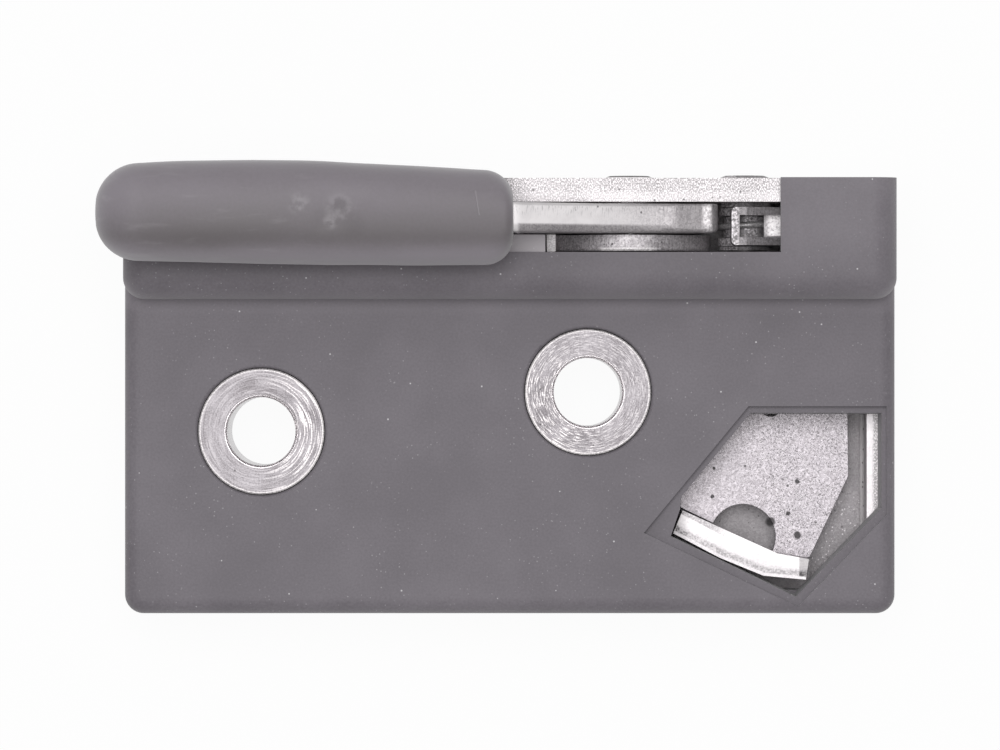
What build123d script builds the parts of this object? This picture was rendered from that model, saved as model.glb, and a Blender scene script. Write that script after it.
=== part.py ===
from build123d import *
import math
import os

os.makedirs("parts", exist_ok=True)

# Frame: X along the lock, Y across it, Z up from the mounting face; the left bushing's axis is the origin.

# Moulded cover
left_margin = 17.4
bottom_margin = 23.15
body_length = 97.95
body_width = 55.3
pad_height = 20.0
step_rise = 7.0
step_band = 15.35
wall = 2.0
corner_radius = 2.4
pad_edge_radius = 2.0
step_edge_radius = 3.3
step_corner_radius = 2.7
cover_gap = 0.2

# Mechanism bay along the top edge, finger trough under the grip, block at the right
bay_width = 9.45
block_length = 14.75
trough_floor = 10.0
trough_gap = 0.23
ledge_drop = 1.0
ledge_length = 5.5

# Release pocket in the pad and the opening in its floor, measured from the right and bottom edges
pocket_corners = [(-18.65, 26.35), (-1.05, 26.35), (-1.05, 12.55), (-12.35, 0.85), (-31.95, 10.25)]
opening_corners = [
    (-18.35, 25.55),
    (-1.65, 25.55),
    (-1.65, 13.35),
    (-12.55, 2.05),
    (-28.55, 9.75),
    (-27.35, 13.25),
    (-27.25, 14.75),
]
ledge_depth = 1.2
pocket_depth = 8.0
pocket_draft = 1.5
pocket_wall = 1.6
pocket_rib = 0.8
pocket_rib_length = 22.0

# Bushings for the fixing bolts
bushing_diameter = 16.0
bolt_bore = 8.7
bushing_proud = 0.2
bore_chamfer = 0.25
rim_chamfer = 0.15
spigot_diameter = 12.0
right_bushing_inset = 39.05
right_bushing_y = 5.0
bushing_gap = 0.1
hole_edge_radius = 0.4
collar_wall = 1.6
collar_depth = 5.0

# Folded chassis
sheet = 3.0
bend_radius = 0.8
upright_inset = 17.8
upright_height = 25.0
upright_edge_inset = 0.05
upright_corner = 3.0
flange_height = 11.7
flange_length = 38.0
flange_inset = 1.95
flange_edge_inset = 0.25

# Cover screws, placed from the left, right and bottom edges and from the bay
screw_left = 6.4
screw_bottom = 6.65
screw_bay = 7.2
screw_middle = 44.55
screw_right = 8.05
screw_diameter = 2.9
screw_length = 12.0
screw_head_diameter = 5.6
screw_boss_diameter = 6.4

# Pivots
fit = 0.05
side_play = 0.1
rivet_head_diameter = 6.8
rivet_head_height = 0.45
rivet_bevel_height = 0.36
rivet_bevel_width = 0.9
handle_inset = 33.75
handle_z = 14.8
catch_spacing = 14.7
catch_z = 16.5
release_gap = 0.48
release_bearing = -30.58

# Handle lever, spring cup and grip
lever_thickness = 3.7
lever_roll = 0.3
lever_break = 0.6
arm_sweep = 24.0
arm_corner = 2.0
lever_journal = 8.0
hub_radius = 9.8
nose_reach = 9.9
nose_rise = 10.2
nose_radius = 1.2
arm_height = 7.4
arm_bottom = 30.2
arm_rise = 14.4
arm_inset = 2.4
washer_thickness = 0.2
washer_diameter = 14.0
cup_radius = 10.4
cup_depth = 2.05
cup_sheet = 0.6
cup_tab_height = 10.4
cup_tab_width = 1.1
cup_tab_proud = 0.12
cup_gap = 0.2
cup_spigot = 5.0
ring_thickness = 0.6
ring_diameter = 12.0
ring_mouth = 0.84
groove_depth = 0.8
handle_wire = 1.0
handle_coil_radius = 8.0
stop_diameter = 4.0
stop_shank = 3.0
stop_z = 22.2
grip_bottom = 27.6
grip_height = 12.4
grip_rounding = 0.86
grip_overhang = 3.0
grip_end_radius = 4.8
grip_mouth_radius = 2.6
grip_end_gap = 0.4

# Grip sections: share of its length, near and far sides from the top edge, and how far top and bottom draw in
grip_sections = [
    (0.0, -10.6, 1.45, 0.35),
    (0.25, -10.95, 2.0, 0.0),
    (0.5, -11.25, 2.0, 0.0),
    (0.75, -11.3, 1.15, 0.1),
    (1.0, -11.3, 0.7, 0.4),
]

# Catch, its sleeve and spring
catch_sheet = 1.0
catch_inner_width = 2.8
catch_journal = 4.0
catch_boss_radius = 3.4
catch_collar_diameter = 6.6
web_offset = 1.9
web_bottom = 4.1
web_top = 9.5
web_lip = 1.9
bridge_left = 2.3
bridge_bottom = 4.0
bridge_sheet = 1.4
hook_corner = 0.4
catch_ring_thickness = 0.5
catch_ring_diameter = 6.4
catch_groove_depth = 0.5
sleeve_diameter = 5.4
catch_wire = 0.8
catch_turns = 1
tail_half_width = 1.2
tail_length = 11.0

# Striker pin that the catch holds, and the mouth it enters
striker_diameter = 8.0
striker_spacing = 9.0
striker_play = 0.2
throat_flare = 1.4
throat_slope = 2.0
hook_neck = 1.9
hook_bevel = 2.0
prong_tip = 0.2
prong_width = 2.4
hook_gap = 0.4
hook_height = 3.6

# Release plate in the pocket
release_sheet = 3.0
release_bottom = 6.0
release_ear_radius = 4.3
release_journal = 6.0
release_head_diameter = 6.8
release_head_height = 1.3
release_washer_diameter = 8.6
release_washer_thickness = 0.8
release_spigot = 5.0
plate_corner = 0.6
fold_radius = 2.4
flange_top = 17.0
flange_hole_radius = 4.24
flange_hole_place = (-19.05, 9.55)
link_hole_diameter = 2.8
link_hole_place = (-15.45, 26.35)
finger_gap = 0.2
finger_width = 2.0
finger_play = 0.35
finger_shoulder = 1.45
finger_neck = 1.5
finger_side = 5.0
finger_length = 8.0
finger_flare = 6.5
finger_slope = 10.0
slot_left = 5.0
slot_right = 8.6

# Release plate's free edge, and the two sides of its folded flange, from the right and bottom edges
plate_edge = [(-5.65, 26.75), (-5.55, 17.35), (-10.55, 6.85), (-14.85, 7.55), (-26.85, 13.25)]
fold_inner = [(-26.95, 13.05), (-14.9, 7.6), (-10.85, 6.85)]
fold_outer = [(-11.25, 4.25), (-16.65, 4.75), (-22.25, 7.05), (-28.15, 10.15)]

# Edges that follow from the sizes above
x_left = -left_margin
x_right = x_left + body_length
y_bottom = -bottom_margin
y_top = y_bottom + body_width
step_top = pad_height + step_rise
step_foot = y_top - step_band
bay_edge = y_top - bay_width
block_left = x_right - block_length
handle_x = x_right - handle_inset
catch_x = handle_x + catch_spacing
striker_x = catch_x + striker_spacing
right_bushing_x = x_right - right_bushing_inset
release_spacing = (bushing_diameter + release_washer_diameter) / 2 + release_gap
release_x = right_bushing_x + release_spacing * math.cos(math.radians(release_bearing))
release_y = right_bushing_y + release_spacing * math.sin(math.radians(release_bearing))
upright_left = handle_x - upright_inset
trough_end = handle_x - max(cup_radius + cup_tab_proud, hub_radius) - trough_gap
ledge_height = step_top - ledge_drop
arm_elbow = handle_x - arm_rise
arm_end = x_left + arm_inset
grip_left = x_left - grip_overhang
grip_right = arm_elbow - grip_end_gap
upright_far = y_top - upright_edge_inset
upright_near = upright_far - sheet
upright_right = x_right - wall - cover_gap
base_left = x_left + wall + cover_gap
base_bottom = y_bottom + wall + cover_gap
flange_outer = x_right - flange_edge_inset
flange_inner = flange_outer - sheet
flange_low = base_bottom + flange_inset
flange_high = flange_low + flange_length
bushing_places = [(0.0, 0.0), (right_bushing_x, right_bushing_y)]
screw_places = [
    (x_left + screw_left, y_bottom + screw_bottom),
    (x_left + screw_left, bay_edge - screw_bay),
    (x_right - screw_middle, y_bottom + screw_bottom),
    (x_right - screw_right, bay_edge - screw_bay),
]
lever_far = upright_near - washer_thickness - side_play
lever_near = lever_far - lever_thickness
cup_far = lever_near - cup_gap
cup_near = cup_far - cup_depth
pocket_bottom = pad_height - pocket_depth
mouth_half = striker_diameter / 2 + striker_play
release_top = release_bottom + release_sheet


def block(x0, x1, y0, y1, z0, z1):
    """A box given by its sides."""
    centre = Pos((x0 + x1) / 2, (y0 + y1) / 2, (z0 + z1) / 2)
    return centre * Box(x1 - x0, y1 - y0, z1 - z0)


def across(profile, y_far, y_near):
    """A profile drawn in X and Z, made thick along Y."""
    return extrude(Plane.XZ.offset(-y_far) * profile, y_far - y_near)


def peg(x, z, diameter, y_far, y_near):
    """A round bar along Y."""
    bar = Cylinder(diameter / 2, y_far - y_near, align=(Align.CENTER, Align.CENTER, Align.MIN))
    return Pos(x, y_far, z) * Rot(90, 0, 0) * bar


def post(x, y, diameter, z0, z1):
    """A round bar along Z."""
    bar = Cylinder(diameter / 2, z1 - z0, align=(Align.CENTER, Align.CENTER, Align.MIN))
    return Pos(x, y, z0) * bar


def area(points):
    """A flat face with straight sides."""
    return make_face(Polyline(*points, close=True))


def from_corner(places):
    """Points given from the right and bottom edges, in the lock's own frame."""
    return [(x_right + x, y_bottom + y) for x, y in places]


def make_cover():
    """Hollow moulding: pad, raised band, trough, bay, block, pocket and bosses."""
    side = area([
        (y_bottom, 0),
        (y_bottom, pad_height),
        (step_foot, pad_height),
        (step_foot, step_top),
        (y_top, step_top),
        (y_top, 0),
    ])
    shape = extrude(Plane.YZ.offset(x_left) * side, body_length)
    uprights = shape.edges().filter_by(Axis.Z)
    shape = fillet(uprights.group_by(Axis.Y)[0], corner_radius)
    uprights = shape.edges().filter_by(Axis.Z)
    shape = fillet(uprights.filter_by_position(Axis.Y, step_foot - fit, step_foot + fit), step_corner_radius)
    band_edges = shape.faces().sort_by(Axis.Z)[-1].edges()
    band_front = band_edges.filter_by_position(Axis.Y, y_bottom, step_foot + step_corner_radius - fit)
    shape = fillet(band_front, step_edge_radius)
    pad_face = shape.faces().filter_by(Plane.XY).group_by(Axis.Z)[-2][0]
    pad_rim = pad_face.edges().filter_by_position(Axis.Y, y_bottom - fit, step_foot - fit)
    shape = fillet(pad_rim, pad_edge_radius)
    outside = shape

    shape -= block(x_left, trough_end, bay_edge, y_top, trough_floor, step_top)
    shape -= block(trough_end, block_left, bay_edge, y_top, 0, step_top)
    shape -= block(block_left, x_right - wall, bay_edge, y_top, 0, step_top - wall)
    shape -= block(x_left + wall, x_right - wall, y_bottom + wall, bay_edge - wall, 0, pad_height - wall)
    shape -= block(
        x_left + wall, x_right - wall, step_foot + wall, bay_edge - wall, 0, step_top - wall)
    shape -= block(x_left + wall, trough_end - wall, bay_edge, y_top - wall, 0, trough_floor - wall)
    shape += block(
        trough_end - ledge_length, trough_end, bay_edge, lever_near - cup_gap, trough_floor, ledge_height)

    recess = Pos(0, 0, pad_height) * area(from_corner(pocket_corners))
    opening = Pos(0, 0, pad_height) * area(from_corner(opening_corners))
    skirt = extrude(offset(recess, pocket_wall, kind=Kind.INTERSECTION), -pocket_depth)
    shape += skirt & outside
    shape -= extrude(recess, -ledge_depth)
    shape -= extrude(opening, -pocket_depth, taper=pocket_draft)
    shape += block(
        x_right - wall - pocket_rib_length, x_right - wall,
        y_bottom + wall, y_bottom + wall + pocket_rib, sheet, pocket_bottom)

    hole = bushing_diameter + 2 * bushing_gap
    collar_bottom = pad_height - wall - collar_depth
    for x, y in bushing_places:
        shape += post(x, y, hole + 2 * collar_wall, collar_bottom, pad_height - wall)
        shape -= post(x, y, hole, collar_bottom, pad_height)
        rim = shape.edges().filter_by(GeomType.CIRCLE).sort_by_distance((x + hole / 2, y, pad_height))[0]
        shape = fillet(rim, hole_edge_radius)
    for x, y in screw_places:
        shape += post(x, y, screw_boss_diameter, sheet, pad_height - wall)
        shape -= post(x, y, screw_diameter + 2 * fit, sheet, screw_length)

    shape -= block(x_left + wall, x_right - wall, y_bottom + wall, y_top - wall, 0, sheet)
    shape -= block(
        flange_inner - cover_gap, x_right,
        flange_low - cover_gap, flange_high + cover_gap, 0, pocket_bottom)
    shape -= block(
        upright_left - cover_gap, trough_end, upright_near - bend_radius - cover_gap, y_top, 0, step_top)
    shape -= block(
        x_right - wall, x_right, bay_edge, y_top, catch_z - mouth_half, catch_z + mouth_half)
    shape -= block(
        catch_x - slot_left, catch_x + slot_right, bay_edge - wall, bay_edge,
        0, release_top + 2 * cover_gap + side_play)
    return shape


def angle(reach, rise):
    """Section of a folded edge, its outer corner at the origin, with the bend's two radii."""
    section = area([(0, 0), (-reach, 0), (-reach, sheet), (-sheet, sheet), (-sheet, rise), (0, rise)])
    corners = section.vertices()
    section = fillet(corners.sort_by_distance((0, 0, 0))[0], bend_radius + sheet)
    corners = section.vertices()
    return fillet(corners.sort_by_distance((-sheet, sheet, 0))[0], bend_radius)


def make_chassis():
    """Base plate, upright plate with the striker mouth, and the side flange, folded from one sheet."""
    bend = bend_radius + sheet
    base_far = y_top - wall - cover_gap
    shape = block(base_left, upright_left, base_bottom, base_far, 0, sheet)
    shape += block(upright_left, flange_outer - bend, base_bottom, upright_far - bend, 0, sheet)
    upright = extrude(
        Plane.YZ.offset(upright_left) * Pos(upright_far, 0) * angle(bend + sheet, upright_height),
        upright_right - upright_left,
    )
    corner = upright.edges().filter_by(Axis.Y).group_by(Axis.Z)[-1].sort_by(Axis.X)[0]
    shape += fillet(corner, upright_corner)
    shape += across(Pos(flange_outer, 0) * angle(bend + sheet, flange_height), flange_high, flange_low)

    mouth = Pos(striker_x, catch_z) * Circle(mouth_half)
    mouth += Pos((striker_x + x_right) / 2, catch_z) * Rectangle(x_right - striker_x, 2 * mouth_half)
    shape -= across(mouth, upright_far, upright_near)
    for x, z, size in [
        (handle_x, handle_z, cup_spigot),
        (catch_x, catch_z, catch_journal),
        (stop_x(), stop_z, stop_shank),
    ]:
        shape -= peg(x, z, size + 2 * fit, upright_far, upright_near)
    for x, y in bushing_places:
        shape -= post(x, y, spigot_diameter + 2 * fit, 0, sheet)
    for x, y in screw_places:
        shape -= screw(x, y, 2 * fit)
    shape -= post(release_x, release_y, release_spigot + 2 * fit, 0, sheet)
    return shape


def stop_x():
    """Place of the stop pin's axis, so that the arm's sloping edge rests on the pin."""
    foot_x = handle_x - hub_radius
    run = foot_x - arm_elbow
    rise = arm_bottom - handle_z
    slope = math.hypot(run, rise)
    edge_x = foot_x - run * (stop_z - handle_z) / rise
    return edge_x - (stop_diameter / 2 + side_play) * slope / rise


def screw(x, y, extra):
    """A countersunk self-tapping screw with its head in the mounting face; extra widens it for a hole."""
    head = screw_head_diameter / 2 + extra
    shank = screw_diameter / 2 + extra
    profile = area([(0, 0), (head, 0), (shank, head - shank), (shank, screw_length), (0, screw_length)])
    return Pos(x, y, 0) * revolve(Plane.XZ * profile, Axis.Z)


def make_bushing(x, y):
    """Turned sleeve with a spigot in the base plate and a chamfered bolt bore."""
    top = pad_height + bushing_proud
    body = post(x, y, bushing_diameter, sheet, top) + post(x, y, spigot_diameter, 0, sheet)
    body -= post(x, y, bolt_bore, 0, top)
    top_rims = body.edges().filter_by(GeomType.CIRCLE).group_by(Axis.Z)[-1].sort_by(SortBy.RADIUS)
    body = chamfer(top_rims[0], bore_chamfer)
    top_rims = body.edges().filter_by(GeomType.CIRCLE).group_by(Axis.Z)[-1].sort_by(SortBy.RADIUS)
    return chamfer(top_rims[-1], rim_chamfer)


def make_handle_lever():
    """Thick pressed lever: round hub, nose that drives the catch, and the arm inside the grip."""
    top = arm_bottom + arm_height
    hub_top = handle_z + nose_rise + nose_radius
    blank = area([
        (handle_x - hub_radius, handle_z),
        (arm_elbow, arm_bottom),
        (arm_end, arm_bottom),
        (arm_end, top),
        (arm_elbow, top),
        (handle_x, hub_top),
        (handle_x + nose_reach, hub_top),
        (handle_x + nose_reach + nose_radius * 0.8, handle_z + nose_rise - nose_radius * 0.6),
        (handle_x + hub_radius * 0.8, handle_z + hub_radius * 0.6),
    ])
    blank = fillet(blank.vertices().sort_by_distance((handle_x, hub_top))[0], arm_sweep)
    blank = fillet(blank.vertices().sort_by_distance((arm_elbow, top))[0], arm_corner)
    profile = blank + Pos(handle_x, handle_z) * Circle(hub_radius)
    profile += Pos(handle_x + nose_reach, handle_z + nose_rise) * Circle(nose_radius)
    lever = across(profile, lever_far, lever_near)
    sides = lever.faces().filter_by(Plane.XZ).sort_by(Axis.Y)
    lever = fillet(sides[-1].edges(), lever_roll)
    sides = lever.faces().filter_by(Plane.XZ).sort_by(Axis.Y)
    lever = fillet(sides[0].edges(), lever_break)
    lever -= peg(handle_x, handle_z, lever_journal + 2 * fit, lever_far, lever_near)
    lever -= peg(
        handle_x, handle_z + handle_coil_radius, handle_wire + 6 * fit, lever_far, lever_near)
    return lever


def make_handle_grip():
    """Soft sleeve dipped over the lever's arm, fuller towards its free end, with rounded ends."""
    middle = grip_bottom + grip_height / 2
    sections = [
        RectangleRounded(far - near, grip_height - 2 * inset, grip_rounding * (grip_height / 2 - inset))
        .moved(Plane.YZ.offset(grip_left + share * (grip_right - grip_left)).location)
        .moved(Location((0, y_top + (near + far) / 2, middle)))
        for share, near, far, inset in grip_sections
    ]
    grip = loft(sections)
    grip = fillet(grip.faces().sort_by(Axis.X)[0].edges(), grip_end_radius)
    grip = fillet(grip.faces().sort_by(Axis.X)[-1].edges(), grip_mouth_radius)
    arm = block(
        arm_end - fit, grip_right,
        lever_near - fit, lever_far + fit,
        arm_bottom - fit, arm_bottom + arm_height + fit)
    return grip - arm


def make_handle_pin():
    """Riveted pin: head outside the upright plate, journal for the lever, spigot for the cup."""
    floor = cup_near + cup_sheet
    pin = peg(handle_x, handle_z, rivet_head_diameter, upright_far + rivet_head_height, upright_far)
    rim = pin.edges().filter_by(GeomType.CIRCLE).sort_by(Axis.Y)[-1]
    pin = chamfer(rim, rivet_bevel_height, rivet_bevel_width)
    pin += peg(handle_x, handle_z, cup_spigot, upright_far, upright_near)
    pin += peg(handle_x, handle_z, lever_journal, upright_near, floor)
    pin += peg(handle_x, handle_z, cup_spigot, floor, cup_near)
    groove = peg(handle_x, handle_z, lever_journal, ring_far(), ring_far() - ring_thickness)
    groove -= peg(
        handle_x, handle_z, lever_journal - 2 * groove_depth, ring_far(), ring_far() - ring_thickness)
    return pin - groove


def ring_far():
    """Upper face of the retaining ring inside the cup."""
    return lever_near - side_play


def open_ring(x, z, outer, inner, y_far, y_near):
    """Retaining ring with an open side, pushed into a groove."""
    ring = peg(x, z, outer, y_far, y_near) - peg(x, z, inner, y_far, y_near)
    half = inner * ring_mouth / 2
    return ring - block(x - half, x + half, y_near, y_far, z - outer, z)


def make_spring_cup():
    """Shallow pressed dish with a locating tab at its left edge."""
    cup = peg(handle_x, handle_z, 2 * cup_radius, cup_far, cup_near)
    cup = fillet(cup.edges().filter_by(GeomType.CIRCLE).sort_by(Axis.Y)[0], cup_sheet / 2)
    cup -= peg(handle_x, handle_z, 2 * (cup_radius - cup_sheet), cup_far, cup_near + cup_sheet)
    cup -= peg(handle_x, handle_z, cup_spigot + 2 * fit, cup_near + cup_sheet, cup_near)
    tab_left = handle_x - cup_radius - cup_tab_proud
    cup += block(
        tab_left, tab_left + cup_tab_width, cup_near, cup_far + side_play,
        handle_z - cup_tab_height / 2, handle_z + cup_tab_height / 2)
    return cup


def make_handle_spring():
    """Wire ring in the cup, one end bent into the lever and the other held at the cup's tab."""
    middle = cup_near + cup_sheet + side_play + handle_wire / 2
    top = handle_z + handle_coil_radius
    section = Plane.YZ.offset(handle_x) * (Pos(middle, top) * Circle(handle_wire / 2))
    coil = revolve(section, Axis((handle_x, middle, handle_z), (0, 1, 0)), revolution_arc=270)
    coil += Pos(handle_x, middle, top) * Sphere(handle_wire / 2)
    coil += peg(handle_x, top, handle_wire, lever_near + lever_thickness * 0.7, middle)
    held_end = Pos(handle_x - handle_coil_radius, middle, handle_z)
    leg = cup_radius + cup_tab_proud - cup_tab_width - side_play - handle_coil_radius
    coil += held_end * Sphere(handle_wire / 2)
    coil += held_end * Rot(0, -90, 0) * Cylinder(
        handle_wire / 2, leg, align=(Align.CENTER, Align.CENTER, Align.MIN))
    return coil


def catch_outline():
    """The cheek's side view about its pivot: boss, web edge, throat and hook."""
    pin_x = striker_x - catch_x
    half_pin = striker_diameter / 2
    hook_top = -mouth_half - hook_gap
    hook_bottom = hook_top - hook_height
    prong_inner = pin_x + half_pin + striker_play + side_play
    prong_outer = prong_inner + prong_width
    throat = pin_x - half_pin - striker_play - 2 * side_play
    return [
        (-web_offset, web_top),
        (web_lip - web_offset, web_top),
        (throat + throat_flare, half_pin + throat_slope),
        (throat, half_pin / 2),
        (throat, -half_pin / 2),
        (throat + throat_flare, hook_top),
        (prong_inner, hook_top),
        (prong_inner, prong_tip),
        (prong_inner + prong_width * 0.3, prong_tip),
        (prong_outer, hook_top + hook_bevel),
        (prong_outer, hook_bottom),
        (pin_x, hook_bottom),
        (throat + throat_flare, hook_top - hook_neck),
        (catch_boss_radius * 0.6, -catch_boss_radius - hook_neck),
        (-catch_boss_radius * 0.8, -catch_boss_radius * 0.6),
        (-web_offset, catch_boss_radius * 0.8),
    ]


def make_catch():
    """Hook folded from sheet: two cheeks, the web the lever pushes, a bridge and a tail."""
    at_pivot = Pos(catch_x, catch_z)
    outline = area(catch_outline())
    corners = outline.vertices().sort_by(Axis.X)
    cheek = at_pivot * (fillet(corners[3:], hook_corner) + Circle(catch_boss_radius))
    tail = at_pivot * Pos(0, -tail_length / 2) * Rectangle(2 * tail_half_width, tail_length)
    far_cheek = across(cheek, catch_far(), catch_far() - catch_sheet)
    near_far = catch_far() - catch_sheet - catch_inner_width
    near_cheek = across(cheek + tail, near_far, near_far - catch_sheet)
    web = block(
        catch_x - web_offset, catch_x - web_offset + catch_sheet,
        near_far - catch_sheet, catch_far(), catch_z + web_bottom, catch_z + web_top)
    throat = striker_x - striker_diameter / 2 - striker_play - 2 * side_play
    bridge = block(
        catch_x + bridge_left, throat, near_far, catch_far() - catch_sheet,
        catch_z + bridge_bottom, catch_z + bridge_bottom + bridge_sheet)
    shape = far_cheek + near_cheek + web + bridge
    left_edges = shape.edges().filter_by(Axis.Z).group_by(Axis.X)[0].group_by(Axis.Y)
    shape = fillet(left_edges[0] + left_edges[-1], catch_sheet * 0.6)
    return shape - peg(catch_x, catch_z, catch_journal + 2 * fit, catch_far(), near_far - catch_sheet)


def catch_far():
    """Upper face of the catch's far cheek, under the pin's collar."""
    return upright_near - catch_sheet * 0.6 - side_play


def catch_near():
    """Lower face of the catch's near cheek."""
    return catch_far() - 2 * catch_sheet - catch_inner_width


def make_catch_pin():
    """Riveted pin with a collar against the upright plate and a groove for its ring."""
    end = catch_near() - side_play - catch_ring_thickness - side_play
    pin = peg(catch_x, catch_z, rivet_head_diameter, upright_far + rivet_head_height, upright_far)
    rim = pin.edges().filter_by(GeomType.CIRCLE).sort_by(Axis.Y)[-1]
    pin = chamfer(rim, rivet_bevel_height, rivet_bevel_width)
    pin += peg(catch_x, catch_z, catch_journal, upright_far, end)
    pin += peg(catch_x, catch_z, catch_collar_diameter, upright_near, catch_far() + side_play)
    ring_top = catch_near() - side_play
    groove = peg(catch_x, catch_z, catch_journal, ring_top, ring_top - catch_ring_thickness)
    groove -= peg(
        catch_x, catch_z, catch_journal - 2 * catch_groove_depth, ring_top, ring_top - catch_ring_thickness)
    return pin - groove


def make_catch_sleeve():
    """Sleeve on the pin between the cheeks."""
    far = catch_far() - catch_sheet - side_play
    near = far - catch_inner_width + 2 * side_play
    sleeve = peg(catch_x, catch_z, sleeve_diameter, far, near)
    return sleeve - peg(catch_x, catch_z, catch_journal + 2 * fit, far, near)


def make_catch_spring():
    """Torsion spring round the sleeve, one leg under the bridge and one on the base plate."""
    radius = sleeve_diameter / 2 + side_play + catch_wire / 2
    pitch = catch_wire + side_play
    height = catch_turns * pitch
    helix = Helix(pitch, height, radius)
    upper_end = helix @ 0 - (helix % 0) * (bridge_bottom - side_play)
    lower_end = helix @ 1 + (helix % 1) * (catch_z - sheet - side_play)
    path = Line(upper_end, helix @ 0) + helix + Line(helix @ 1, lower_end)
    wire = sweep(Plane(upper_end, z_dir=helix % 0) * Circle(catch_wire / 2), path=path)
    middle = catch_far() - catch_sheet - catch_inner_width / 2
    return Pos(catch_x, middle - height / 2, catch_z) * Rot(-90, 0, 0) * wire


def make_release_plate():
    """Flat plate with a finger for the catch's tail and a flange bent up in the pocket."""
    tail_right = catch_x + tail_half_width + finger_gap
    finger_top = catch_near() + catch_sheet + finger_play
    shoulder = catch_near() - finger_shoulder
    ear = release_ear_radius * 0.7
    outline = area([
        (release_x - ear, release_y + ear),
        (catch_x - finger_neck, shoulder - finger_length),
        (catch_x - finger_neck, shoulder),
        (tail_right, shoulder),
        (tail_right, finger_top),
        (tail_right + finger_width, finger_top),
        (tail_right + finger_width, shoulder),
        (catch_x + finger_side, shoulder),
        (catch_x + finger_flare, shoulder - finger_slope),
        *from_corner(plate_edge),
        (release_x - ear, release_y - ear),
    ])
    right_corners = outline.vertices().sort_by(Axis.X)[-3:]
    plan = fillet(right_corners, plate_corner) + Pos(release_x, release_y) * Circle(release_ear_radius)
    plate = extrude(Pos(0, 0, release_bottom) * plan, release_sheet)
    outer = from_corner(fold_outer)
    fold = area(from_corner(fold_inner) + outer)
    shape = plate + extrude(Pos(0, 0, release_bottom) * fold, flange_top - release_bottom)
    under = shape.faces().filter_by(Plane.XY).sort_by(Axis.Z)[0].edges()
    bend = []
    for start, end in zip(outer, outer[1:]):
        middle = ((start[0] + end[0]) / 2, (start[1] + end[1]) / 2, release_bottom)
        bend.append(under.sort_by_distance(middle)[0])
    shape = fillet(bend, fold_radius)
    holes = [
        (*from_corner([flange_hole_place])[0], 2 * flange_hole_radius),
        (*from_corner([link_hole_place])[0], link_hole_diameter),
        (release_x, release_y, release_journal + 2 * fit),
    ]
    for x, y, diameter in holes:
        shape -= post(x, y, diameter, release_bottom, release_top)
    return shape


def make_release_pin():
    """Shouldered rivet in the base plate that carries the release plate."""
    seat = release_bottom - side_play
    under_head = release_top + side_play + release_washer_thickness
    pin = post(release_x, release_y, release_spigot, 0, sheet)
    pin += post(release_x, release_y, release_washer_diameter, sheet, seat)
    pin += post(release_x, release_y, release_journal, seat, under_head)
    head = post(release_x, release_y, release_head_diameter, under_head, under_head + release_head_height)
    crown = head.edges().filter_by(GeomType.CIRCLE).sort_by(Axis.Z)[-1]
    return pin + fillet(crown, release_head_height * 0.7)


def make_release_washer():
    """Washer between the release plate and the rivet's head."""
    low = release_top + side_play
    washer = post(release_x, release_y, release_washer_diameter, low, low + release_washer_thickness)
    hole = release_journal + 2 * fit
    return washer - post(release_x, release_y, hole, low, low + release_washer_thickness)


nodes = {
    "chassis": make_chassis(),
    "cover": make_cover(),
    "left_bushing": make_bushing(*bushing_places[0]),
    "right_bushing": make_bushing(*bushing_places[1]),
    "cover_screws": Compound([screw(x, y, 0) for x, y in screw_places]),
    "handle_pivot_pin": make_handle_pin(),
    "handle_washer": (
        peg(handle_x, handle_z, washer_diameter, upright_near, upright_near - washer_thickness)
        - peg(handle_x, handle_z, lever_journal + 2 * fit, upright_near, upright_near - washer_thickness)
    ),
    "handle_lever": make_handle_lever(),
    "handle_grip": make_handle_grip(),
    "handle_retaining_ring": open_ring(
        handle_x, handle_z, ring_diameter, lever_journal - 2 * groove_depth + 2 * fit,
        ring_far(), ring_far() - ring_thickness + fit),
    "spring_cup": make_spring_cup(),
    "handle_spring": make_handle_spring(),
    "handle_stop": (
        peg(stop_x(), stop_z, stop_shank, upright_far, upright_near)
        + peg(stop_x(), stop_z, stop_diameter, upright_near, lever_near)
    ),
    "catch": make_catch(),
    "catch_pivot_pin": make_catch_pin(),
    "catch_sleeve": make_catch_sleeve(),
    "catch_spring": make_catch_spring(),
    "catch_retaining_ring": open_ring(
        catch_x, catch_z, catch_ring_diameter, catch_journal - 2 * catch_groove_depth + 2 * fit,
        catch_near() - side_play, catch_near() - side_play - catch_ring_thickness + fit),
    "release_plate": make_release_plate(),
    "release_pivot_pin": make_release_pin(),
    "release_washer": make_release_washer(),
}

for name, shape in nodes.items():
    export_step(shape, f"parts/{name}.step")
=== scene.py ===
import math

import bmesh
import bpy
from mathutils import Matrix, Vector, noise


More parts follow.
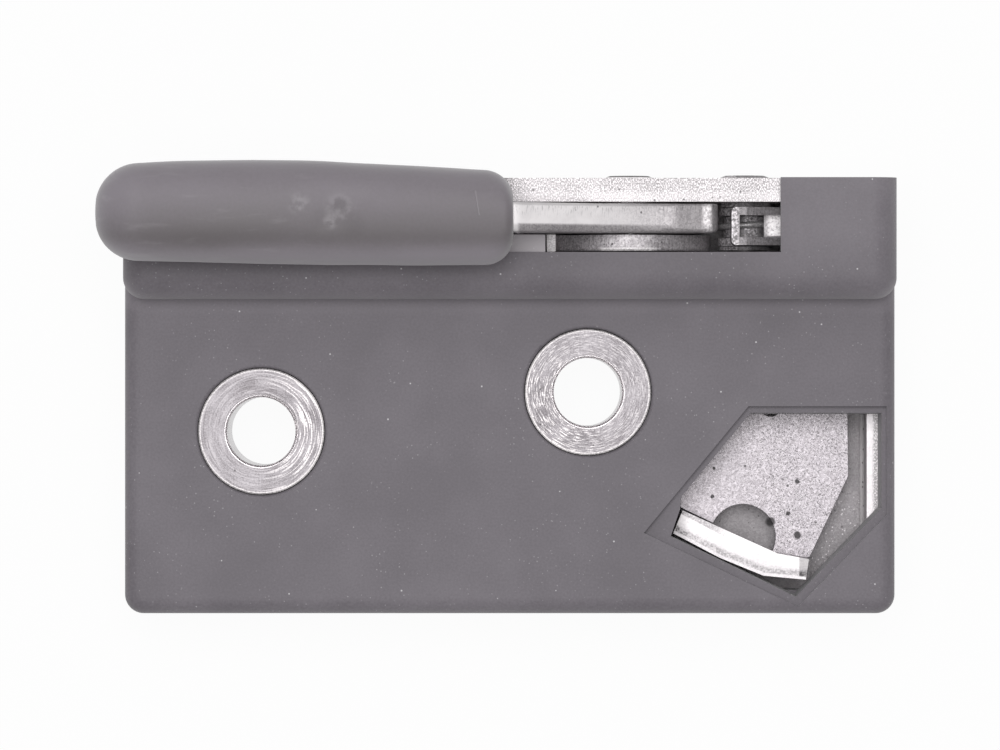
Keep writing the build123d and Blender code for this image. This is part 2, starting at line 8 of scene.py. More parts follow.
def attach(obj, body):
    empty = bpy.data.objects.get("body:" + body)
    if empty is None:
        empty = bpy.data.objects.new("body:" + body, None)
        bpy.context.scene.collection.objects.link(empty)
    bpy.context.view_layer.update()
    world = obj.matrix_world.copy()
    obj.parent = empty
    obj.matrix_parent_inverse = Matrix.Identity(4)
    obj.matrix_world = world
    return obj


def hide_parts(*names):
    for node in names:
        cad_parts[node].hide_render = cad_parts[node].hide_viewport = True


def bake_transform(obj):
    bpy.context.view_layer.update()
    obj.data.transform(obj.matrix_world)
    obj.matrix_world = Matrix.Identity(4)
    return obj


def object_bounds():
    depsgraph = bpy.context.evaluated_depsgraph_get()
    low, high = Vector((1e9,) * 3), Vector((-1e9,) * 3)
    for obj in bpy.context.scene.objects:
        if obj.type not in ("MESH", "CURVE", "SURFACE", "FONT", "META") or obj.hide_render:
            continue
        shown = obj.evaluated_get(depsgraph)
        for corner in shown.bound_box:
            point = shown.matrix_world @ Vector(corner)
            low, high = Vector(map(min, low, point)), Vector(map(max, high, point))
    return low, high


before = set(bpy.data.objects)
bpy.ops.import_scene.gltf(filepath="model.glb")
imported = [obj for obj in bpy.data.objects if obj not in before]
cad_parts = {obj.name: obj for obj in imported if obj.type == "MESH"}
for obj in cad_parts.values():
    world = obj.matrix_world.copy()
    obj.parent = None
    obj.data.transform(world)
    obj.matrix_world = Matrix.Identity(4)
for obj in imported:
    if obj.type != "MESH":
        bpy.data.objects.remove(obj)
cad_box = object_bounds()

# Chassis: the folded steel back of the lock, its base plate, the upright that carries the pivots and
# the side flange by the pocket. It is 3 mm strip, sheared and folded cold, then zinc plated, so its
# faces have a fine bright grain and its cut edges are coarse and sparkle.


class Wire:
    """One socket in a material's nodes; maths on it adds the nodes that do the maths."""

    def __init__(self, tree, socket=None):
        self.tree = tree
        self.socket = socket

    def node(self, kind, settings, sockets, out=0):
        made = self.tree.nodes.new("ShaderNode" + kind)
        for key, value in settings.items():
            setattr(made, key, value)
        for key, value in sockets.items():
            if isinstance(value, Wire):
                self.tree.links.new(value.socket, made.inputs[key])
            else:
                made.inputs[key].default_value = value
        return Wire(self.tree, made.outputs[out])

    def into(self, shader, name):
        self.tree.links.new(self.socket, shader.inputs[name])

    def maths(self, operation, a, b=0.0):
        return self.node("Math", {"operation": operation}, {0: a, 1: b})

    def __add__(self, other):
        return self.maths("ADD", self, other)

    __radd__ = __add__

    def __sub__(self, other):
        return self.maths("SUBTRACT", self, other)

    def __rsub__(self, other):
        return self.maths("SUBTRACT", other, self)

    def __mul__(self, other):
        return self.maths("MULTIPLY", self, other)

    __rmul__ = __mul__

    def __truediv__(self, other):
        return self.maths("DIVIDE", self, other)

    def __rtruediv__(self, other):
        return self.maths("DIVIDE", other, self)

    def __gt__(self, other):
        return self.maths("GREATER_THAN", self, other)

    def most(self, other):
        """The greater of two values."""
        return self.maths("MAXIMUM", self, other)

    def rise(self, low, high):
        """0 below low, 1 above high and a smooth ramp between them."""
        sockets = {"Value": self, "From Min": low, "From Max": high, "To Min": 0.0, "To Max": 1.0}
        return self.node("MapRange", {"interpolation_type": "SMOOTHSTEP"}, sockets)

    def fall(self, low, high):
        """1 below low, 0 above high and a smooth ramp between them."""
        return 1.0 - self.rise(low, high)

    def tint(self, dark, light):
        """A colour that goes from dark to light as this value goes from 0 to 1."""
        return self.node("Mix", {"data_type": "RGBA"}, {0: self, 6: dark, 7: light}, 2)


def paint(red, green, blue):
    """A colour as it looks on screen, 0 to 255, in the shader's linear light."""
    return tuple(((c / 255 + 0.055) / 1.055) ** 2.4 for c in (red, green, blue)) + (1.0,)


def start_finish(name, **constants):
    """A material, its shader with what is the same all over, and the place on the piece in millimetres."""
    material = bpy.data.materials.new(name)
    material.use_nodes = True
    shader = material.node_tree.nodes["Principled BSDF"]
    for key, value in constants.items():
        shader.inputs[key.replace("_", " ")].default_value = value
    wire = Wire(material.node_tree)
    here = wire.node("TexCoord", {}, {}, "Object")
    place = wire.node("VectorMath", {"operation": "SCALE"}, {0: here, 3: 1000.0})
    return material, shader, place


def axes(place):
    """The place's x, y and z, each a value of its own."""
    return [place.node("SeparateXYZ", {}, {0: place}, k) for k in range(3)]


def near(place, x, y, inner, outer):
    """1 within the inner distance of an upright line, 0 beyond the outer one."""
    flat = place.node("VectorMath", {"operation": "MULTIPLY"}, {0: place, 1: (1.0, 1.0, 0.0)})
    distance = place.node("VectorMath", {"operation": "DISTANCE"}, {0: flat, 1: (x, y, 0.0)}, 1)
    return distance.fall(inner, outer)


def cloud(place, scale, detail=2.0, stretch=(1.0, 1.0, 1.0)):
    """Soft noise from 0 to 1, with about scale lumps to the millimetre."""
    stretched = place.node("VectorMath", {"operation": "MULTIPLY"}, {0: place, 1: stretch})
    return place.node("TexNoise", {}, {"Vector": stretched, "Scale": scale, "Detail": detail})


def specks(place, scale, share, size):
    """Round specks: a share of the cells of a random lattice each hold one, of up to that size."""
    sockets = {"Vector": place, "Scale": scale}
    distance = place.node("TexVoronoi", {}, sockets)
    chance = place.node("SeparateColor", {}, {0: place.node("TexVoronoi", {}, sockets, 1)})
    return (chance > 1.0 - share) * distance.fall(size * 0.55, size)


def spangle(place, scale):
    """Crystals of plating: one even value from 0 to 1 for each small cell."""
    colour = place.node("TexVoronoi", {}, {"Vector": place, "Scale": scale}, 1)
    return place.node("SeparateColor", {}, {0: colour})


def relief(shader, place, height, depth):
    """Height from 0 to 1 as a bump that is depth millimetres deep."""
    sockets = {"Height": height, "Distance": depth / 1000, "Strength": 1.0}
    place.node("Bump", {}, sockets).into(shader, "Normal")


def zinc(name, dark, light, rough, depth, marks, streak=(1.0, 1.0, 1.0), pits=0.2, metal=0.8):
    """Zinc plate over steel: crystals, fine grain, streaks of rolling or shearing, and pits.

    marks gives two values for each place on a piece: how dull it is with grime and painted shade, and how far
    it is painted white as highlight and painted light.
    """
    # The dark colour is grime and painted shade; the near-white is painted light and painted highlight.
    grime_and_shade, painted_light = paint(58, 54, 56), paint(255, 251, 252)
    material, shader, place = start_finish(name)
    grain = cloud(place, scale=5.0, detail=3.0)
    lines = cloud(place, scale=3.0, detail=3.0, stretch=streak)
    patches = cloud(place, scale=0.22, detail=3.0)
    crystals = spangle(place, scale=5.0)
    holes = specks(place, scale=1.1, share=pits, size=0.2)
    tone = grain * 0.6 + crystals * 0.3 + lines * 0.5 + patches * 0.4 - 0.4
    bare = tone.rise(0.15, 0.85).tint(dark, light)
    # The marks' dull value carries grime and painted shade, and their white value painted light and painted
    # highlight.
    marked, white = marks(place)
    dull = (holes * 0.75).most(marked)
    dull.tint(white.tint(bare, painted_light), grime_and_shade).into(shader, "Base Color")
    (metal - 0.6 * metal * dull.most(white)).into(shader, "Metallic")
    (rough + 0.2 * (grain - 0.5) + 0.2 * (patches - 0.5)).into(shader, "Roughness")
    smooth = 1.0 - 0.7 * white
    texture = grain * 0.5 + lines * 0.5 + crystals * 0.3
    relief(shader, place, texture * smooth - holes * 0.6, depth)
    return material


def dress(material, *names):
    """Gives the named pieces this finish."""
    for name in names:
        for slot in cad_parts[name].material_slots:
            slot.material = material


def chassis_marks(place):
    """The base plate is dull and speckled, with painted glints in one patch; the cut edges have rows of dark
    tears from the shear and, with the flange's face, are painted white as a highlight.
    """
    x, y, z = axes(place)
    upright = y.rise(26.0, 28.0)
    elsewhere = 1.0 - upright
    cut_edge = upright * z.rise(24.5, 24.8) + elsewhere * z.rise(11.3, 11.5)
    tears = cloud(place, scale=4.8, detail=4.0, stretch=(1.4, 0.9, 1.0)).rise(0.38, 0.57)
    denser_outside = 0.6 + 0.22 * y.rise(30.0, 30.7)
    thinning = 0.6 + 0.8 * cloud(place, scale=0.25)
    upright_rows = upright * denser_outside * thinning
    flange_rows = elsewhere * x.rise(77.9, 78.3) * 0.75
    base = z.fall(8.5, 10.5) * y.fall(27.0, 29.0)
    # glitter lightens specks in one patch of the base plate as painted glints.
    glitter = specks(place, scale=2.4, share=0.6, size=0.26) * near(place, 74.0, -14.0, inner=3.5, outer=8.0)
    stain = near(place, 65.2, -11.8, inner=0.35, outer=0.8)
    soot = specks(place, scale=1.6, share=0.25, size=0.16).most(stain)
    torn = cut_edge * tears * (upright_rows + flange_rows) * 0.72
    dull = base * (0.58 + 0.38 * soot - 0.5 * glitter) + torn
    # Painted highlight: the flange's face and the cut edges are painted white.
    flange_face = x.rise(76.7, 77.0) * x.fall(77.5, 77.8) * (1.0 - cut_edge) * y.fall(24.0, 26.0)
    return dull * (1.0 - 0.9 * flange_face), (cut_edge * 0.5).most(flange_face)


chassis_zinc = zinc(
    "chassis_zinc", paint(196, 190, 193), paint(240, 235, 238), rough=0.55, depth=0.03, marks=chassis_marks)
dress(chassis_zinc, "chassis")

# Bushings: two turned steel sleeves that the fixing bolts go through, pressed into the base plate.
# Their faces keep the fine rings of the lathe tool; the broken edge of the rim and the ring lines on one side
# are painted white as a highlight.
bushing_bore, bushing_rim = 4.6, 8.0
bushing_dark, bushing_light = paint(116, 111, 114), paint(196, 191, 195)


def turned(name, centre, dark, light, highlight_toward=(0.0, 0.0), bore=0.0, rim=99.0,
           feed=5.5, broken=0.35, even=0.12):
    """Turned steel: tool rings round an upright axis, their lines painted white as a highlight towards one
    side, and the rim painted white as a highlight.

    feed is how many rings there are to the millimetre, broken how short their arcs are, and even how much
    of the painted highlight lies away from the lit side.
    """
    # The near-white whitens the ring lines, mostly on the lit side, and the rim, as a painted highlight.
    nick, scrape_and_highlight = paint(70, 66, 68), paint(255, 250, 250)
    material, shader, place = start_finish(name)
    offset = place.node("VectorMath", {"operation": "SUBTRACT"}, {0: place, 1: (*centre, 0.0)})
    flat = place.node("VectorMath", {"operation": "MULTIPLY"}, {0: offset, 1: (1.0, 1.0, 0.0)})
    radius = place.node("VectorMath", {"operation": "LENGTH"}, {0: flat}, 1)
    x, y, _ = axes(offset)
    aside, ahead = x / radius, y / radius
    # Painted highlight: whiter towards the given side of the piece.
    highlight_side = (aside * highlight_toward[0] + ahead * highlight_toward[1]).rise(-0.1, 0.9)
    wander = 0.05 * cloud(place, scale=0.35)
    spot = place.node("CombineXYZ", {}, {0: radius + wander, 1: aside * broken, 2: ahead * broken})
    rings = cloud(spot, scale=feed, detail=3.0)
    grain = cloud(place, scale=5.0)
    patches = cloud(place, scale=0.3)
    tone = (rings * 0.9 + grain * 0.5 + patches * 0.6 - 0.52).rise(0.15, 0.8)
    lines = rings.rise(0.52, 0.62) * grain.rise(0.3, 0.5) * (even + (1.0 - even) * highlight_side)
    inner = radius.fall(bore, bore + 0.15)
    # Painted highlight along the rim, more on the lit side.
    edge = radius.rise(rim - 0.34, rim - 0.26) * (0.25 + 0.5 * grain.rise(0.35, 0.65) + 0.25 * highlight_side)
    white = lines.most(edge).most(inner * 0.25)
    nicks = specks(place, scale=0.9, share=0.12, size=0.14)
    face = white.tint(tone.tint(dark, light), scrape_and_highlight)
    (nicks * 0.7).tint(face, nick).into(shader, "Base Color")
    (0.8 - 0.4 * edge).into(shader, "Metallic")
    (0.56 + 0.25 * (rings - 0.5) + 0.15 * (patches - 0.5) - 0.32 * inner).into(shader, "Roughness")
    relief(shader, place, (rings * (0.6 + 0.5 * highlight_side) + grain * 0.3) * (1.0 - inner), depth=0.05)
    return material


left_bushing_steel = turned(
    "left_bushing_steel", (0.0, 0.0), bushing_dark, bushing_light,
    highlight_toward=(1.0, 0.0), bore=bushing_bore, rim=bushing_rim)
right_bushing_steel = turned(
    "right_bushing_steel", (41.5, 5.0), bushing_dark, bushing_light,
    highlight_toward=(-0.9, -0.4), bore=bushing_bore, rim=bushing_rim, feed=9.0, broken=0.7, even=0.35)
dress(left_bushing_steel, "left_bushing")
dress(right_bushing_steel, "right_bushing")

# Release plate: the bent plate in the pocket that a rod pulls to let the catch go. It is blanked from
# 3 mm strip, folded up at one end and zinc plated, and turns on a shouldered rivet with a washer.

# Pits in the plate: place and size. Outer sides of the fold: a point on each and its inward direction.
plate_pits = [
    (68.5, -6.5, 0.4),
    (65.0, -11.7, 0.75),
    (68.5, -13.4, 0.6),
    (67.3, -10.6, 0.35),
    (57.6, -8.4, 0.28),
    (57.8, -4.8, 0.26),
]
fold_sides = [(52.4, -13.0, 0.465, 0.885), (58.3, -16.1, 0.380, 0.925), (63.9, -18.4, 0.092, 0.996)]
beyond_fold = 10.0


def release_marks(place):
    """Deep pits, flecks and painted glints on the face; the fold's cut edge painted white as a highlight,
    darker towards its lower side as painted shade, with a torn band, a rolled border and dull ends, the left
    one painted shade.
    """
    x, y, z = axes(place)
    ragged = 0.3 * cloud(place, scale=2.5) - 0.15
    spot = place.node("VectorMath", {"operation": "ADD"}, {0: place, 1: ragged})
    pits = 0.0
    for pit_x, pit_y, size in plate_pits:
        pits = pits + near(spot, pit_x, pit_y, inner=size * 0.6, outer=size)
    inside = beyond_fold
    for side_x, side_y, across, up in fold_sides:
        inside = place.maths("MINIMUM", inside, (x - side_x) * across + (y - side_y) * up)

    cut_edge = z.rise(16.4, 16.8)
    tearing = 0.35 + 0.65 * cloud(place, scale=4.5).rise(0.4, 0.6)
    torn = inside.rise(0.3, 0.5) * inside.fall(0.8, 1.4) * tearing
    rolling = 0.5 + 0.5 * cloud(place, scale=4.0).rise(0.4, 0.6)
    rolled = inside.rise(2.6, 2.75) * x.fall(57.0, 59.5) * rolling
    right_end = x.rise(68.3, 68.6) * inside.rise(0.2, 0.4)
    # The left end is dulled as painted shade.
    left_end = x.fall(52.8, 55.0)
    ends = right_end * 0.8 + left_end * 0.8
    mottle = 0.72 + 0.28 * cloud(place, scale=2.4, detail=4.0).rise(0.4, 0.58)
    edge_dull = cut_edge * (torn * 0.5 + ends * 0.6 + rolled * 0.4)
    # Painted highlight: the cut edge is painted white, less towards its lower side as painted shade.
    edge_white = cut_edge * mottle * (0.6 + 0.4 * inside.rise(1.0, 2.0)) * (1.0 - 0.6 * rolled)

    grainy = (1.0 - cut_edge) * (0.35 + 0.65 * x.rise(59.0, 66.0))
    flecks = cloud(place, scale=6.5, detail=1.0).rise(0.56, 0.66) * grainy
    # sparkle paints white specks on the face as glints.
    sparkle = specks(place, scale=3.2, share=0.45, size=0.32) * grainy * (1.0 - (pits > 0.05))
    dull = edge_dull.most(pits * 0.9 + flecks * 0.6)
    return dull * (1.0 - sparkle), edge_white + sparkle * 0.95


release_zinc = zinc(
    "release_zinc", paint(160, 154, 158), paint(224, 218, 223), rough=0.55, depth=0.04, marks=release_marks,
    pits=0.03)
release_rivet_steel = turned("release_rivet_steel", (52.5, -1.5), paint(140, 135, 138), paint(205, 200, 203))
dress(release_zinc, "release_plate", "release_washer")
dress(release_rivet_steel, "release_pivot_pin")

# Handle pivot: a riveted pin through the upright, with a washer, a stop pin, and the shallow pressed
# cup that holds the torsion spring beside the lever. An open ring in a groove keeps the lever on the pin.
head_foot, head_rim, head_face = (32.1, 32.2), (32.36, 32.42), (32.54, 32.57)


def pin_marks(place):
    """The rivet heads carry a painted highlight, with painted shade on their rim."""
    _, y, _ = axes(place)
    # Painted shade on the rim, and a painted highlight from the head's foot to its rim.
    rim = y.rise(*head_rim) * y.fall(*head_face)
    return rim * 0.8, y.rise(*head_foot) * y.fall(*head_rim)


pin_zinc = zinc(
    "pin_zinc", paint(140, 135, 138), paint(205, 200, 203), rough=0.52, depth=0.02, marks=pin_marks,
    streak=(0.3, 3.0, 0.3))
dress(pin_zinc, "handle_pivot_pin", "handle_washer", "handle_stop", "handle_retaining_ring")


def cup_marks(place):
    """The cup's tab is painted light, the middle of its rolled lip and patches across its middle are painted
    highlights, and nothing on it is dull.
    """
    x, y, z = axes(place)
    mottle = 0.55 + 0.45 * cloud(place, scale=3.5).rise(0.4, 0.6)
    # Painted highlight on the middle of the rolled lip and in patches across the middle.
    lip = y.fall(23.15, 23.4) * x.rise(42.6, 43.6) * x.fall(49.2, 50.6)
    patchy = cloud(place, scale=1.6, detail=3.0).rise(0.45, 0.65)
    middle = x.rise(43.0, 44.5) * x.fall(48.5, 50.5) * patchy * 0.35
    # Painted light on the tab, which lies deep in its slot.
    tab = x.fall(37.3, 37.6) * z.rise(18.5, 19.5)
    return 0.0, mottle * lip.most(tab).most(middle)


cup_zinc = zinc(
    "cup_zinc", paint(132, 127, 130), paint(210, 205, 208), rough=0.5, depth=0.04, marks=cup_marks,
    streak=(2.5, 0.15, 2.5), metal=0.55)
dress(cup_zinc, "spring_cup")


def spring_wire(name, dark, light):
    """Drawn spring wire: clean steel with fine lines of the draw."""
    material, shader, place = start_finish(name, Metallic=0.5)
    lines = cloud(place, scale=4.0, detail=3.0)
    lines.rise(0.25, 0.75).tint(dark, light).into(shader, "Base Color")
    (0.45 + 0.25 * (lines - 0.5)).into(shader, "Roughness")
    relief(shader, place, lines, depth=0.015)
    return material


wire_steel = spring_wire("wire_steel", paint(150, 147, 148), paint(212, 209, 210))


def twisting_spring(name, node):
    """The spring's wire as a copy of its CAD piece, in the spring wire finish, with the CAD piece hidden."""
    piece = bpy.data.objects.new(name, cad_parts[node].data.copy())
    bpy.context.collection.objects.link(piece)
    piece.data.materials.clear()
    piece.data.materials.append(wire_steel)
    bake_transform(piece)
    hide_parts(node)


twisting_spring(
    "handle_torsion_spring", "handle_spring")

# Handle lever: the thick blanked lever that swings on the pivot, with its nose against the catch.
# Its rim shows the shear marks of blanking across the thickness, burnished on one side.


def lever_marks(place):
    """Dull torn stripes along both sides and drag marks; painted shade on the heel and tip of the nose,
    painted light on the arm, and painted highlights at the shoulder and the nose.
    """
    x, y, _ = axes(place)
    stripes = y.fall(25.8, 26.3) * 0.35 + y.rise(28.3, 28.6) * 0.35
    # Painted shade where the nose rounds away: its heel and tip.
    heel = x.rise(51.5, 53.4) * x.fall(55.6, 56.2) * 0.5
    tip = x.rise(56.9, 57.3) * 0.6
    scrape = cloud(place, scale=3.4, stretch=(2.2, 0.35, 1.0)).rise(0.52, 0.7)
    drag = scrape * y.rise(26.6, 28.4) * 0.35
    # Painted light on the arm, lightening it where the grip shades it.
    painted_light = x.fall(40.0, 54.0) * y.rise(25.9, 26.3)
    painted_light = painted_light * (0.88 + 0.12 * cloud(place, scale=0.7, detail=3.0).rise(0.35, 0.65))
    # Painted highlights at the shoulder's bend and on the nose.
    shoulder = x.fall(32.4, 32.9)
    nose = x.rise(55.8, 56.3) * x.fall(56.9, 57.3) * cloud(place, scale=3.0).rise(0.45, 0.6) * 0.6
    return stripes.most(heel + tip + drag), painted_light.most(shoulder).most(nose)


lever_zinc = zinc(
    "lever_zinc", paint(160, 155, 158), paint(215, 210, 212), rough=0.55, depth=0.03, marks=lever_marks,
    streak=(2.6, 0.2, 2.6), pits=0.08, metal=0.6)
dress(lever_zinc, "handle_lever")

# Grip: the soft plastic sleeve dipped on to the lever's arm. The dip leaves a full, slightly wavy
# skin that is fat at the end of the arm, with small dents, scuffs and a scratch from use.
grip_left, grip_right = -20.4, 32.0
grip_bottom, grip_top = 27.6, 40.0
grip_end_radius, grip_mouth_radius = 5.2, 3.6
grip_mouth_flatness = 3
grip_squareness = 0.76
grip_around, grip_steps = 64, 130
ring_evenness = 0.25
skin_wave = 0.08
wave_lumps = (0.13, 0.2, 0.2)

# Sections at even steps from end to mouth: near side, far side, and how far top and bottom draw in.
grip_sections = [
    (21.55, 33.6, 0.35),
    (21.2, 34.15, 0.0),
    (20.9, 34.15, 0.0),
    (20.85, 33.5, 0.1),
    (20.85, 32.85, 0.4),
]

# Dents in the upper side: place, size and depth.
grip_dents = [(10.6, 27.9, 1.5, 0.4), (8.3, 26.3, 0.9, 0.25), (5.0, 28.3, 1.1, 0.18), (13.0, 28.8, 1.2, 0.2)]


def along(sections, share, column):
    """A smooth line through one column of the sections."""
    last = len(sections) - 1
    i = min(int(share * last), last - 1)
    step = share * last - i
    before, here, after, beyond = (sections[min(max(i + k, 0), last)][column] for k in (-1, 0, 1, 2))
    slope, next_slope = (after - before) / 2, (beyond - here) / 2
    rise = after - here
    bend = 3 * rise - 2 * slope - next_slope
    twist = slope + next_slope - 2 * rise
    return here + step * (slope + step * (bend + step * twist))


def rounding(depth, radius):
    """How far a rounded end has drawn in at a depth from its face."""
    depth = min(depth, radius)
    return radius - math.sqrt(radius * radius - (radius - depth) ** 2)


def squarer(value):
    """A cosine or sine pushed outwards, so that a round section becomes a squarer one."""
    return math.copysign(abs(value) ** grip_squareness, value)


def grip_ring(x, share):
    """One ring of the skin in metres, pulled in a little by its waves and dents."""
    low, high, inset = (along(grip_sections, share, column) for column in range(3))
    drawn = rounding(x - grip_left, grip_end_radius)
    to_mouth = grip_right - x
    y_half = (high - low) / 2 - drawn - rounding(to_mouth, grip_mouth_radius)
    z_half = (grip_top - grip_bottom) / 2 - inset - drawn
    z_half -= rounding(to_mouth, grip_mouth_radius / grip_mouth_flatness)
    ring = []
    for j in range(grip_around):
        turn = 2 * math.pi * j / grip_around
        across, up = math.cos(turn), math.sin(turn)
        y = (low + high) / 2 + y_half * squarer(across)
        z = (grip_bottom + grip_top) / 2 + z_half * squarer(up)
        lump = Vector((x * wave_lumps[0], y * wave_lumps[1], z * wave_lumps[2]))
        sink = skin_wave + skin_wave * noise.noise(lump)
        for dent_x, dent_y, size, deep in grip_dents:
            off_dent = ((x - dent_x) ** 2 + (y - dent_y) ** 2) / size ** 2
            sink += deep * math.exp(-off_dent) * max(up, 0.0)
        ring.append((x / 1000, (y - sink * across) / 1000, (z - sink * up) / 1000))
    return ring


def dipped_sleeve(name):
    """Rings along the arm, closer together at both ends, joined to one closed skin."""
    shape = bmesh.new()
    rings = []
    for i in range(grip_steps + 1):
        eased = (1 - math.cos(math.pi * i / grip_steps)) / 2
        share = ring_evenness * i / grip_steps + (1 - ring_evenness) * eased
        x = grip_left + (grip_right - grip_left) * share
        rings.append([shape.verts.new(point) for point in grip_ring(x, share)])
    for ring, after in zip(rings, rings[1:]):
        for j in range(grip_around):
            k = (j + 1) % grip_around
            shape.faces.new((ring[j], ring[k], after[k], after[j]))
    shape.faces.new(list(reversed(rings[0])))
    shape.faces.new(rings[-1])
    bmesh.ops.recalc_face_normals(shape, faces=shape.faces)
    mesh = bpy.data.meshes.new(name)
    shape.to_mesh(mesh)
    shape.free()
    mesh.polygons.foreach_set("use_smooth", [True] * len(mesh.polygons))
    piece = bpy.data.objects.new(name, mesh)
    bpy.context.collection.objects.link(piece)
    return piece


def dipped_plastic(name, dark, light):
    """Soft dipped plastic: cloudy tone, painted light on the upper side, the lower flank and the left end,
    pale scuffs, a painted highlight round the big dent, painted shade in the dents, and one scratch.
    """
    shade, scuff_and_highlight = paint(80, 75, 78), paint(200, 196, 200)
    material, shader, place = start_finish(name, Sheen_Weight=0.35, Sheen_Roughness=0.5)
    x, y, _ = axes(place)
    clouds = cloud(place, scale=0.12, detail=3.0, stretch=(0.6, 1.0, 1.0))
    grain = cloud(place, scale=2.2)
    scuffs = cloud(place, scale=0.9, detail=4.0)
    rubs = cloud(place, scale=0.5, detail=3.0, stretch=(0.3, 1.6, 1.0)).rise(0.55, 0.75) * x.fall(2.0, 12.0)
    pale = near(place, 5.3, 28.5, inner=0.2, outer=1.9) + near(place, 9.1, 26.2, inner=0.2, outer=1.3)
    # The third pale patch, round the big dent, is its painted highlight; the others are scuffs.
    pale = pale + near(place, 10.4, 28.0, inner=0.8, outer=2.6) * 0.7
    scuffs_and_dent_highlight = pale * scuffs.rise(0.38, 0.62)
    # Painted shade in the dents.
    small_dent_shade = near(place, 12.0, 25.9, inner=0.4, outer=2.2) * 0.8
    dent_shade = near(place, 10.5, 28.3, inner=0.5, outer=1.5).most(small_dent_shade)
    off_line = place.maths("ABSOLUTE", x - 27.3 + 0.16 * (y - 30.0) + 0.15 * (scuffs - 0.5))
    scratch = off_line.fall(0.05, 0.16) * (y > 27.1) * (1.0 - (y > 30.2))
    # Painted light: lighter along the lower flank, at the left end and on the upper side.
    painted_flank_and_end_light = y.fall(21.6, 24.8) + x.fall(-20.5, -13.0) * 0.4
    painted_upper_light = y.rise(23.0, 31.5) * 0.75 + painted_flank_and_end_light
    skin = (clouds * 0.35 + grain * 0.15 + painted_upper_light * 0.6 - 0.07).rise(0.05, 0.95).tint(dark, light)
    skin = (dent_shade * 0.28).tint(skin, shade)
    (scuffs_and_dent_highlight * 0.22 + rubs * 0.1 + scratch * 0.14).tint(skin, scuff_and_highlight).into(shader, "Base Color")
    (0.6 + 0.25 * (clouds - 0.5) + 0.1 * (grain - 0.5)).into(shader, "Roughness")
    relief(shader, place, grain * 0.3 + scuffs * 0.5 - scratch, depth=0.03)
    return material


grip = dipped_sleeve("dipped_grip")
grip.data.materials.append(dipped_plastic("grip_plastic", paint(97, 92, 94), paint(138, 132, 139)))
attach(grip, "handle")
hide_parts("handle_grip")

# Catch: the folded hook that holds the striker, with its sleeve, spring, pin and ring.
# It is 1 mm strip folded to a channel and plated, so its web and cheeks are bright and streaky.


def catch_marks(place):
    """The cheeks and the bridge's left end carry painted shade, the web is flecked, and the bridge between
    the cheeks carries a painted highlight.
    """
    x, y, _ = axes(place)
    within = y.rise(24.75, 24.9) * y.fall(27.35, 27.5)
    # Painted shade on the cheeks and along the bridge's left end, and a painted highlight on the bridge.
    cheeks = x.rise(60.2, 60.7) * (1.0 - within * x.rise(61.3, 61.6)) * 0.6
    flecks = cloud(place, scale=3.2).rise(0.45, 0.59) * 0.7
    bridge = x.rise(63.6, 64.8) * within * (0.5 + 0.5 * cloud(place, scale=3.0).rise(0.4, 0.6))
    bridge_end = x.rise(63.0, 63.1) * x.fall(63.6, 64.8) * within * 0.6
    return (cheeks + bridge_end).most(flecks * (1.0 - bridge)), bridge


catch_zinc = zinc(
    "catch_zinc", paint(150, 145, 148), paint(235, 230, 233), rough=0.5, depth=0.035, marks=catch_marks,
    streak=(2.0, 0.3, 2.0), metal=0.5)
dress(catch_zinc, "catch", "catch_retaining_ring", "catch_sleeve", "catch_pivot_pin")
twisting_spring(
    "catch_torsion_spring", "catch_spring")

# Cover: the moulded plastic shell over the mechanism, with the stepped band, the finger trough and the
# release pocket. Its matt moulded skin has a fine grain and carries dust and specks.


def moulded(name, dark, light):
    """Matt moulded plastic: fine grain, cloudy tone and dust, painted light on the ledge, the end block and
    the step's foot, and painted shade on the stepped band and the upper pad.
    """
    shade, pale = paint(70, 65, 69), paint(220, 212, 220)
    painted_light, dust = paint(236, 230, 234), paint(236, 234, 236)
    material, shader, place = start_finish(name, Sheen_Weight=0.2, Sheen_Roughness=0.5)
    x, y, z = axes(place)
    grain = cloud(place, scale=3.2, detail=3.0)
    patches = cloud(place, scale=0.12, detail=3.0)
    fine = specks(place, scale=1.7, share=0.5, size=0.17) * cloud(place, scale=0.1).rise(0.35, 0.65)
    bits = specks(place, scale=0.42, share=0.6, size=0.06)
    ledge = x.rise(29.5, 30.5) * x.fall(36.2, 36.4) * y.rise(22.6, 22.8) * z.fall(26.2, 26.6)
    raised = z.rise(20.5, 22.0)
    end_block = x.rise(60.0, 69.0) * y.rise(18.0, 27.0) * raised
    band = raised * y.rise(17.5, 20.0) * (1.0 - end_block)
    upper_pad = y.rise(6.0, 14.0)
    foot = y.rise(14.5, 17.5) * y.fall(18.6, 19.6) * z.fall(24.0, 26.5)
    skin = (grain * 0.6 + patches * 0.6 - 0.1).rise(0.15, 0.85).tint(dark, light)
    # Painted light on the ledge, end block and step's foot; painted shade on the stepped band and upper pad.
    skin = (ledge * 0.6).tint(skin, painted_light)
    skin = (band * 0.1 + upper_pad * 0.07).tint(skin, shade)
    skin = (end_block * 0.06 + foot * 0.12).tint(skin, pale)
    (bits * 0.6 + fine * 0.28).tint(skin, dust).into(shader, "Base Color")
    (0.65 + 0.2 * (grain - 0.5) + 0.15 * (patches - 0.5)).into(shader, "Roughness")
    relief(shader, place, grain + bits * 0.6, depth=0.02)
    return material


dress(moulded("cover_plastic", paint(100, 95, 101), paint(124, 119, 125)), "cover")

# Cover screws: four self-tapping steel screws with countersunk heads, zinc plated as the pins are.
# They are driven from behind through the base plate into the cover's bosses.
dress(pin_zinc, "cover_screws")

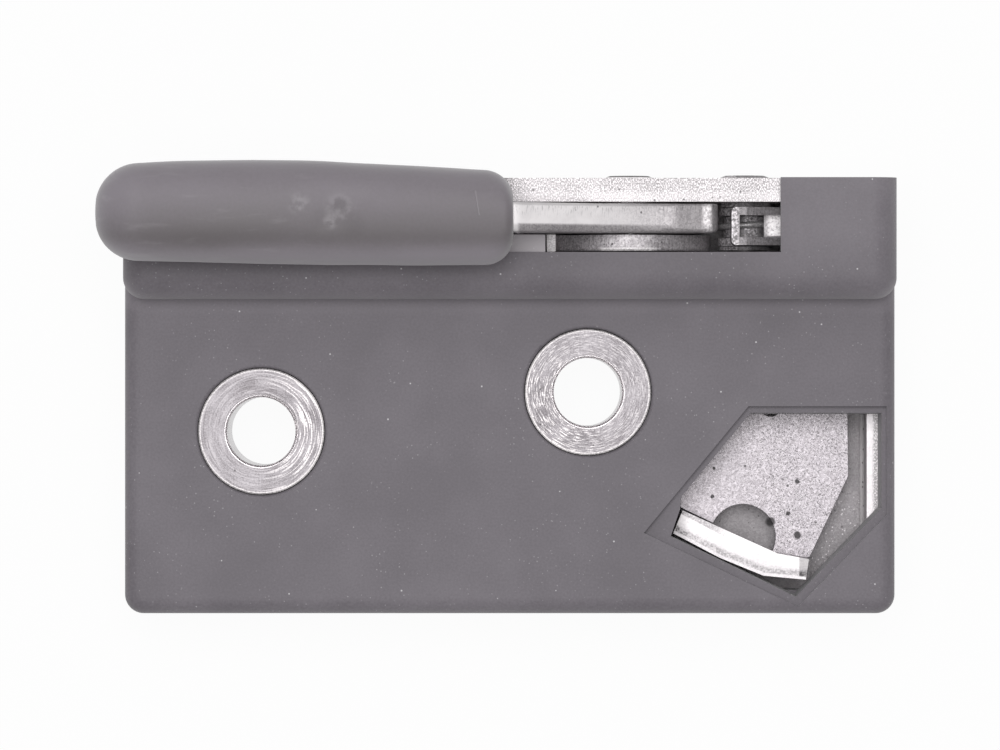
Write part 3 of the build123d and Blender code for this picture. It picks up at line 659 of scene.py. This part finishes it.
# Studio: a plain white floor under the lock, even light all round and a soft lamp above.
# The camera looks straight down, as the photograph does.
floor_edge = 1.5
floor_level = cad_box[0][2] - 0.0001
floor_white = 0.95
world_light = 0.38
lamp_size, lamp_power = 0.6, 7.6
lamp_place, lamp_aim = Vector((0.0, 0.12, 1.12)), Vector((0.03, 0.007, 0.02))
camera_place = (0.03033, 0.00717, 1.070)
camera_lens, camera_sensor, camera_nearest = 297.5, 36.0, 0.01
white_light = (1.0, 1.0, 1.0, 1.0)

floor_mesh = bpy.data.meshes.new("floor")
corner_signs = [(-1, -1), (1, -1), (1, 1), (-1, 1)]
corners = [(x * floor_edge, y * floor_edge, floor_level) for x, y in corner_signs]
floor_mesh.from_pydata(corners, [], [(0, 1, 2, 3)])
floor = bpy.data.objects.new("floor", floor_mesh)
bpy.context.collection.objects.link(floor)
floor_material, floor_shader, floor_place = start_finish("floor_white", Roughness=0.9)
floor_shader.inputs["Base Color"].default_value = (0.8, 0.8, 0.8, 1.0)
camera_ray = floor_place.node("LightPath", {}, {}, "Is Camera Ray")
glossy_ray = floor_place.node("LightPath", {}, {}, "Is Glossy Ray")
through_ray = floor_place.node("LightPath", {}, {}, "Is Transmission Ray")
seen = floor_place.maths("MINIMUM", camera_ray + glossy_ray + through_ray, 1.0)
glow = floor_place.node("Emission", {}, {"Color": white_light, "Strength": 1.0})
plain = Wire(floor_material.node_tree, floor_shader.outputs[0])
surface = floor_place.node("MixShader", {}, {0: seen * floor_white, 1: plain, 2: glow})
surface.into(floor_material.node_tree.nodes["Material Output"], "Surface")
floor_mesh.materials.append(floor_material)

world = bpy.data.worlds.new("studio")
world.use_nodes = True
world.node_tree.nodes["Background"].inputs["Color"].default_value = white_light
world.node_tree.nodes["Background"].inputs["Strength"].default_value = world_light
bpy.context.scene.world = world

lamp = bpy.data.lights.new("soft_lamp", "AREA")
lamp.shape = "DISK"
lamp.size = lamp_size
lamp.energy = lamp_power
lamp_object = bpy.data.objects.new("soft_lamp", lamp)
lamp_object.location = lamp_place
lamp_object.rotation_euler = (lamp_aim - lamp_place).to_track_quat("-Z", "Y").to_euler()
bpy.context.collection.objects.link(lamp_object)

camera = bpy.data.cameras.new("camera")
camera.lens = camera_lens
camera.sensor_width = camera_sensor
camera.clip_start = camera_nearest
camera_object = bpy.data.objects.new("camera", camera)
camera_object.location = camera_place
bpy.context.collection.objects.link(camera_object)
bpy.context.scene.camera = camera_object
bpy.context.scene.view_settings.view_transform = "Standard"
